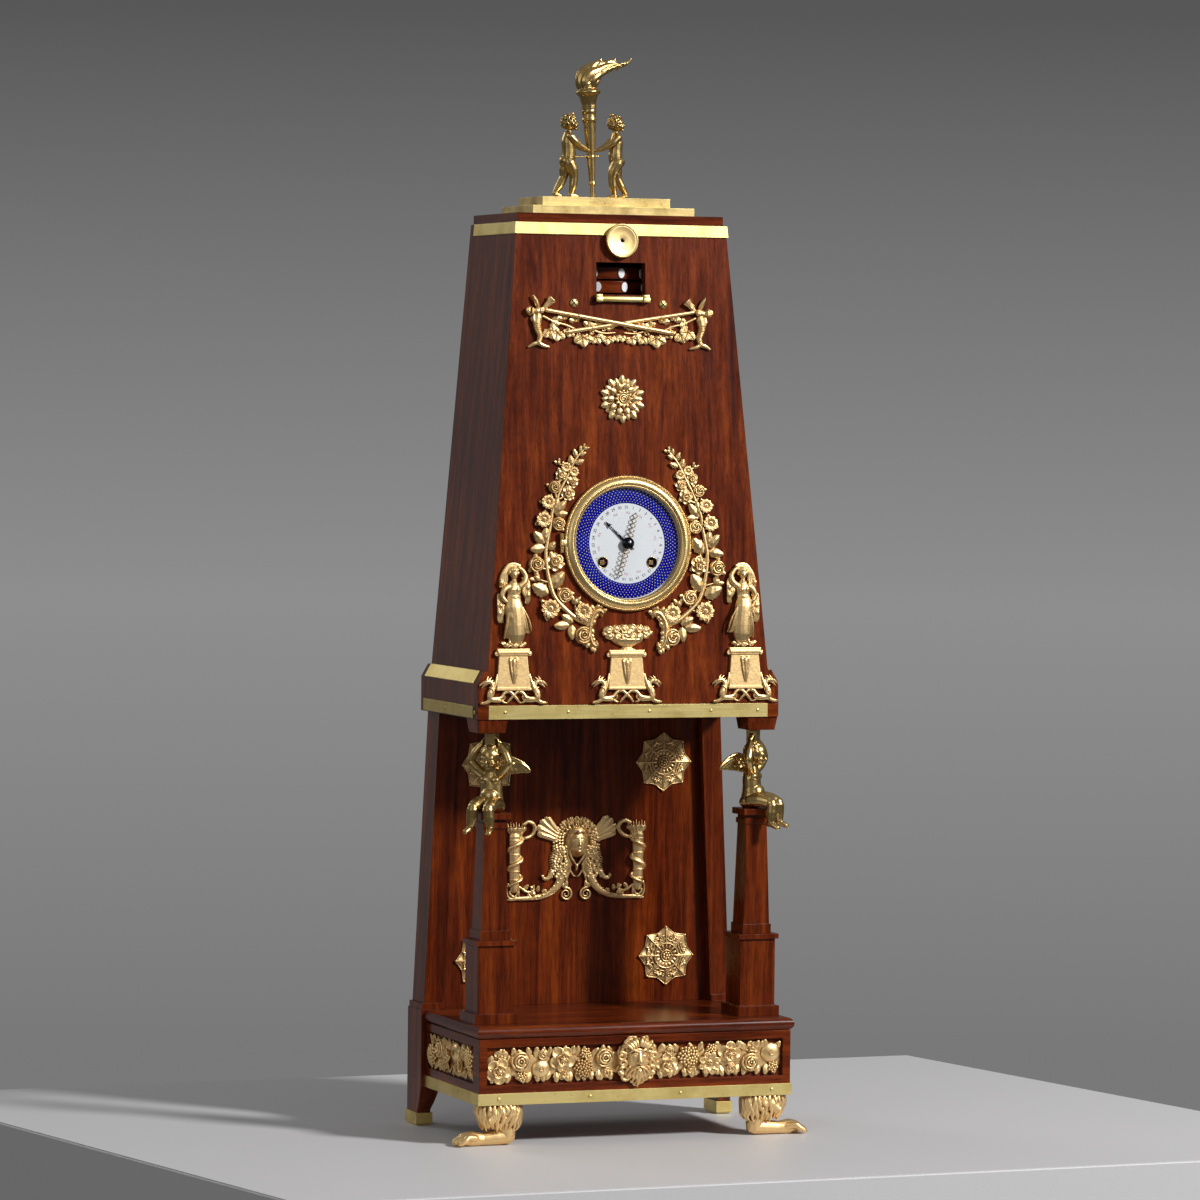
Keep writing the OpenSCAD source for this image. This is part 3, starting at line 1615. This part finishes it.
module bezel() {
    color(gilt)
        on_face(dial_cz)
            union() {
                rotate_extrude($fn = 120)
                    polygon([
                        [bezel_in_r, 0.3], [bezel_r, 0.3], [bezel_r, 3.4], [bezel_r - 1, 4.8],
                        [bezel_r - 3.4, bezel_h], [bezel_r - 5.4, bezel_h],
                        [bezel_r - 6.4, bezel_h - 1.4], [bezel_in_r + 1.4, bezel_h - 3],
                        [bezel_in_r, bezel_h - 3.4]
                    ]);
                difference() {
                    union() {
                        translate([hinge_x, -0.5 * knuckle_l, hinge_c])
                            rotate([-90, 0, 0])
                                shaft(knuckle_r, 0, knuckle_l);
                        block([hinge_x, -0.5 * knuckle_l, hinge_c - 1],
                              [hinge_x + 4, 0.5 * knuckle_l, hinge_c + knuckle_r]);
                    }
                    translate([hinge_x, -knuckle_l, hinge_c])
                        rotate([-90, 0, 0])
                            shaft(hinge_pin_r + run_gap, 0, 2 * knuckle_l);
                }
            }
}

// Domed glass that rests on the bezel's inner lip
module bezel_glass() {
    rim = bezel_in_r + 1.6;
    seat = bezel_h - 2.75;
    ball = (rim * rim + glass_rise * glass_rise) / (2 * glass_rise);
    color("#c8d8dc", 0.35)
        on_face(dial_cz)
            translate([0, 0, seat])
                rotate_extrude($fn = 96)
                    intersection() {
                        translate([0, glass_rise - ball])
                            difference() {
                                circle(ball + glass_t, $fn = 360);
                                circle(ball, $fn = 360);
                            }
                        translate([0, 0.2])
                            square([rim, glass_rise + glass_t + 2]);
                    }
}

// Openwork hand made of a chain of lozenges, pointing up
module chain_hand(l) {
    links = 5;
    first = 4.4;
    pitch = (l - first) / links;
    for (i = [0 : links - 1])
        translate([0, first + (i + 0.5) * pitch])
            difference() {
                scale([0.36, 0.62])
                    circle(pitch, $fn = 4);
                scale([0.22, 0.4])
                    circle(pitch, $fn = 4);
            }
    translate([0, first / 2 + 0.6])
        square([1.2, first], center = true);
}

minute_c = 3.2;
hour_c = 2.1;
date_c = 0.8;
hour_angle = minutes_shown * 0.5;
minute_angle = minutes_shown * 6;

// Motion work: cannon pinion to minute wheel, minute pinion to hour wheel, twelve to one
motion_d = 12;
cannon_n = 12;
minute_wheel_n = 36;
minute_pinion_n = 10;
hour_wheel_n = 40;
cannon_mod = 2 * motion_d / (cannon_n + minute_wheel_n);
hour_mod = 2 * motion_d / (minute_pinion_n + hour_wheel_n);
cannon_level = -front_t + 0.7;
hour_level = -front_t + 3.3;

module hour_hand() {
    color(black)
        on_face(dial_cz)
            union() {
                rotate(-hour_angle)
                    translate([0, 0, hour_c])
                        linear_extrude(hand_t)
                            difference() {
                                union() {
                                    circle(3.4);
                                    chain_hand(hour_hand_l);
                                }
                                circle(minute_pipe_r + run_gap);
                            }
                difference() {
                    shaft(hour_pipe_r, hour_level, hour_c + eps);
                    shaft(minute_pipe_r + run_gap, hour_level - 1, hour_c + 1);
                }
                gear(hour_wheel_n, hour_mod, hour_level, 1.4, minute_pipe_r + run_gap, -90);
            }
}

module minute_hand() {
    color(black)
        on_face(dial_cz)
            union() {
                rotate(-minute_angle)
                    translate([0, 0, minute_c])
                        linear_extrude(hand_t)
                            union() {
                                circle(3);
                                chain_hand(minute_hand_l);
                            }
                shaft(minute_pipe_r, cannon_level + 1.6, minute_c + eps);
                translate([0, 0, minute_c])
                    cylinder(h = 2.2, r1 = 2.4, r2 = 1.4);
                gear(cannon_n, cannon_mod, cannon_level, 1.8, 0, -90);
            }
}

module date_hand() {
    color(black)
        on_face(dial_cz)
            union() {
                rotate(-date_angle)
                    translate([0, 0, date_c])
                        linear_extrude(hand_t)
                            difference() {
                                union() {
                                    circle(4.2);
                                    translate([-0.5, -6])
                                        square([1, date_hand_l + 2]);
                                    polygon([
                                        [0, date_hand_l], [2, date_hand_l - 6], [0, date_hand_l - 4.6],
                                        [-2, date_hand_l - 6]
                                    ]);
                                }
                                circle(hour_pipe_r + run_gap);
                            }
                difference() {
                    union() {
                        shaft(date_pipe_r, -dial_t - 0.6, date_c + eps);
                        shaft(date_pipe_r + 2, -dial_t - 1.2, -dial_t - 0.3);
                    }
                    shaft(hour_pipe_r + run_gap, -5, 5);
                }
            }
}

// Minute wheel and pinion, which turn on a stud of the front plate
module motion_wheel() {
    color(brass)
        on_face(dial_cz)
            translate([0, -motion_d, 0])
                union() {
                    gear(minute_wheel_n, cannon_mod, cannon_level + 0.2, 1.2,
                         1 + run_gap, 90 + 180 / minute_wheel_n);
                    gear(minute_pinion_n, hour_mod, cannon_level + 0.3, hour_level - cannon_level + 1.3,
                         1 + run_gap, 90 + 180 / minute_pinion_n);
                }
}

/* Movement */

front_c = -front_t - plate_t;
back_c = front_c - plate_gap;
pillar_spots = [32, 148, 90, 270];
pillar_ring = plate_r - 4.5;
pivot_r = 1.5;

great_n = 60;
centre_pinion_n = 10;
barrel_d = sqrt(wind_x * wind_x + wind_z * wind_z);
barrel_angle = atan2(-wind_z, -wind_x);
great_mod = 2 * barrel_d / (great_n + centre_pinion_n);
centre_n = 64;
third_pinion_n = 8;
centre_mod = 0.5;
third_d = centre_mod * (centre_n + third_pinion_n) / 2;
third_angle = 115;
third_n = 60;
escape_pinion_n = 8;
third_mod = 0.4;
escape_d = third_mod * (third_n + escape_pinion_n) / 2;
third_x = third_d * cos(third_angle);
third_y = third_d * sin(third_angle);
escape_y = third_y + sqrt(escape_d * escape_d - third_x * third_x);
escape_r = 6.5;
anchor_y = escape_y + escape_r + 3;
hang_y = anchor_y + 6.5;
hammer_x = 30;
hammer_y = 30;
great_level = back_c + 3;
strike_level = front_c - 5.8;
centre_level = front_c - 3;
third_level = front_c - 13;
escape_level = front_c - 9;

module front_plate() {
    color(brass)
        on_face(dial_cz)
            difference() {
                union() {
                    shaft(plate_r, front_c, -front_t - 0.02);
                    translate([0, -motion_d, 0])
                        shaft(1, -front_t - 1, hour_level + 1.5);
                }
                shaft(pivot_r + run_gap, -30, 0);
                for (s = [-1, 1])
                    translate([s * wind_x, -wind_z, 0])
                        shaft(2.5 + run_gap, -30, 0);
                translate([third_x, third_y, 0])
                    shaft(1 + run_gap, -30, 0);
                translate([0, escape_y, 0])
                    shaft(1 + run_gap, -30, 0);
                translate([0, anchor_y, 0])
                    shaft(1 + run_gap, -30, 0);
                translate([hammer_x, hammer_y, 0])
                    shaft(1 + run_gap, -30, 0);
                for (a = pillar_spots)
                    rotate(a)
                        translate([pillar_ring, 0, 0])
                            shaft(1.5, -30, 0);
            }
}

function face_point(z, x, y, c) = [
    x,
    -face_depth(z) + y * sin(lean) - c * cos(lean),
    z + y * cos(lean) + c * sin(lean)
];
hang_point = face_point(dial_cz, 0, hang_y, back_c - plate_t - 9);

// Back plate with its riveted pillars and the stud from which the pendulum hangs
module back_plate() {
    low = back_c - plate_t;
    color(brass)
        union() {
            on_face(dial_cz)
                difference() {
                    union() {
                        shaft(plate_r, low, back_c);
                        for (a = pillar_spots)
                            rotate(a)
                                translate([pillar_ring, 0, 0]) {
                                    shaft(3, back_c - eps, front_c - 0.02);
                                    shaft(1.45, front_c - 1, -front_t - 0.5);
                                }
                        translate([0, hang_y, 0])
                            block([-2.5, -2.5, low - 5], [2.5, 3.5, low + eps]);
                    }
                    shaft(pivot_r + run_gap, -60, front_c - 1);
                    for (s = [-1, 1])
                        translate([s * wind_x, -wind_z, 0])
                            shaft(2.5 + run_gap, -60, front_c - 1);
                    translate([third_x, third_y, 0])
                        shaft(1 + run_gap, -60, front_c - 1);
                    translate([0, escape_y, 0])
                        shaft(1 + run_gap, -60, front_c - 1);
                    translate([0, anchor_y, 0])
                        shaft(1 + run_gap, -60, front_c - 1);
                    translate([hammer_x, hammer_y, 0])
                        shaft(1 + run_gap, -60, front_c - 1);
                }
            translate([0, hang_point[1] - 6, hang_point[2]])
                rotate([-90, 0, 0])
                    cylinder(h = 9, r = 1);
        }
}

// Spring barrel on its arbor, with the square for the key at the front
module barrel(level, drum_low, drum_high, turn) {
    gear(great_n, great_mod, level, 1.6, 0, turn);
    shaft(barrel_r, drum_low, drum_high);
    shaft(2.5, back_c - plate_t, -front_t + 0.4);
    translate([-wind_square / 2, -wind_square / 2, -front_t])
        cube([wind_square, wind_square, front_t - dial_t - 0.4]);
}

drum_low = great_level + 1.7;
drum_high = strike_level - 0.3;

module going_barrel() {
    color(brass)
        on_face(dial_cz)
            translate([-wind_x, -wind_z, 0])
                union()
                    barrel(great_level, great_level + 1.5, drum_high, barrel_angle + 180);
}

module strike_barrel() {
    color(brass)
        on_face(dial_cz)
            translate([wind_x, -wind_z, 0])
                union()
                    barrel(strike_level, drum_low, strike_level + 0.1, 0);
}

module centre_wheel() {
    color(brass)
        on_face(dial_cz)
            union() {
                shaft(pivot_r, back_c - plate_t, front_c + plate_t);
                shaft(2.4, great_level + 3.2, centre_level);
                gear(centre_pinion_n, great_mod, great_level - 0.6, 4, 0,
                     barrel_angle + 180 / centre_pinion_n);
                gear(centre_n, centre_mod, centre_level, 1.2, 0, third_angle);
                shaft(minute_pipe_r, front_c + plate_t - eps, cannon_level - 0.02);
            }
}

module third_wheel() {
    toward_escape = atan2(escape_y - third_y, -third_x);
    color(brass)
        on_face(dial_cz)
            translate([third_x, third_y, 0])
                union() {
                    shaft(1, back_c - plate_t, front_c + plate_t);
                    gear(third_pinion_n, centre_mod, centre_level - 1, 3.2, 0,
                         third_angle + 180 + 180 / third_pinion_n);
                    gear(third_n, third_mod, third_level, 1.2, 0, toward_escape);
                }
}

module escape_wheel() {
    toward_third = atan2(third_y - escape_y, third_x);
    teeth = 30;
    color(brass)
        on_face(dial_cz)
            translate([0, escape_y, 0])
                union() {
                    shaft(1, back_c - plate_t, front_c + plate_t);
                    gear(escape_pinion_n, third_mod, third_level - 0.8, 3, 0,
                         toward_third + 180 / escape_pinion_n);
                    translate([0, 0, escape_level])
                        linear_extrude(1.2)
                            polygon([
                                for (i = [0 : teeth - 1], p = [[0, escape_r], [0.2, escape_r - 1.4]])
                                    p[1] * [cos((i + p[0]) * 12), sin((i + p[0]) * 12)]
                            ]);
                }
}

fork_y = hang_y - 31;

// Anchor on its arbor, with the crutch and the fork that holds the pendulum rod
module anchor() {
    low = back_c - plate_t;
    color(steel)
        on_face(dial_cz)
            translate([0, anchor_y, 0])
                union() {
                    shaft(1, low - 3, front_c + plate_t);
                    translate([0, 0, escape_level])
                        linear_extrude(1.2)
                            difference() {
                                union() {
                                    circle(2);
                                    translate([0, -1.2])
                                        square([15, 2.4], center = true);
                                    for (s = [-1, 1])
                                        translate([s * 8.2, -3])
                                            square([1.6, 6], center = true);
                                }
                                translate([0, escape_y - anchor_y])
                                    circle(escape_r + 0.9);
                            }
                    block([-1.2, fork_y - anchor_y - 2, low - 3], [1.2, 0, low - 1.6]);
                    block(
                        [-3.6, fork_y - anchor_y - 2, low - 3],
                        [3.6, fork_y - anchor_y + 1, low - 1.6]
                    );
                    for (s = [-1, 1])
                        translate([s * 2.6, fork_y - anchor_y - 0.5, 0])
                            shaft(0.8, low - 13.5, low - 2);
                }
}

module pendulum() {
    rod_r = 1.2;
    eye_r = 2.7;
    color(brass)
        translate(hang_point)
            rotate([90, 0, 0])
                union() {
                    difference() {
                        shaft(eye_r, -1.2, 1.2);
                        shaft(1 + run_gap, -3, 3);
                    }
                    translate([0, -eye_r + 0.3, 0])
                        rotate([90, 0, 0])
                            shaft(rod_r, 0, pendulum_l + bob_r - eye_r + 2);
                    translate([0, -pendulum_l, 0])
                        rotate_extrude()
                            polygon([
                                [0, -4], [bob_r * 0.6, -3.4], [bob_r, -0.8], [bob_r, 0.8],
                                [bob_r * 0.6, 3.4], [0, 4]
                            ]);
                }
}

bell_x = 17;
bell_y = hang_y + bell_r + 3;

// Bell on a bracket that is screwed to the back plate
module bell() {
    low = back_c - plate_t;
    mouth = low - 4;
    color(brass)
        on_face(dial_cz)
            union() {
                block([bell_x - 3, 30, low - 2.5], [bell_x + 3, bell_y + 3, low - 0.02]);
                translate([bell_x, bell_y, 0]) {
                    shaft(1.5, mouth - 17, low - 1);
                    translate([0, 0, mouth])
                        rotate_extrude()
                            polygon([
                                [0, -14], [bell_r * 0.5, -13], [bell_r * 0.85, -8], [bell_r, 0],
                                [bell_r - 1.6, 0], [bell_r * 0.85 - 1.6, -7], [bell_r * 0.5, -11.4],
                                [0, -12.4]
                            ]);
                }
            }
}

// Hammer on an arbor between the plates, resting just clear of the bell's mouth
module bell_hammer() {
    low = back_c - plate_t;
    head = [bell_x + bell_r + 5.4 - hammer_x, bell_y - hammer_y];
    arm = norm(head);
    color(steel)
        on_face(dial_cz)
            translate([hammer_x, hammer_y, 0])
                union() {
                    shaft(1, low - 3.6, front_c + plate_t);
                    rotate(atan2(head[1], head[0]))
                        block([0, -1, low - 5], [arm, 1, low - 3.4]);
                    translate([head[0], head[1], 0])
                        shaft(4, low - 9, low - 3.4);
                }
}

base_carcass();
base_top_board();
base_band();
frieze_panels();
base_mask();
lion_paws();
rear_posts();
rear_shoes();
gallery_panel();
gallery_stars();
sun_mask_mount();
front_plinths();
front_shafts();
seated_putti();
corner_blocks();
case_floor();
case_front();
case_sides();
back_board();
back_door();
door_knob();
cornice_board();
lower_bands();
top_band();
finial_slabs();
torch();
torch_putti();
window_sill();
ring_shelf();
shelf_screws();
lower_ring();
upper_ring();
lower_cartouches();
upper_cartouches();
turning_knob();
staff_garland();
rosette();
wreath_branches();
altar_mount();
side_pedestals();
dancing_figures();
dial_plate();
bezel_hinge();
bezel();
bezel_glass();
hour_hand();
minute_hand();
date_hand();
motion_wheel();
front_plate();
back_plate();
going_barrel();
strike_barrel();
centre_wheel();
third_wheel();
escape_wheel();
anchor();
pendulum();
bell();
bell_hammer();
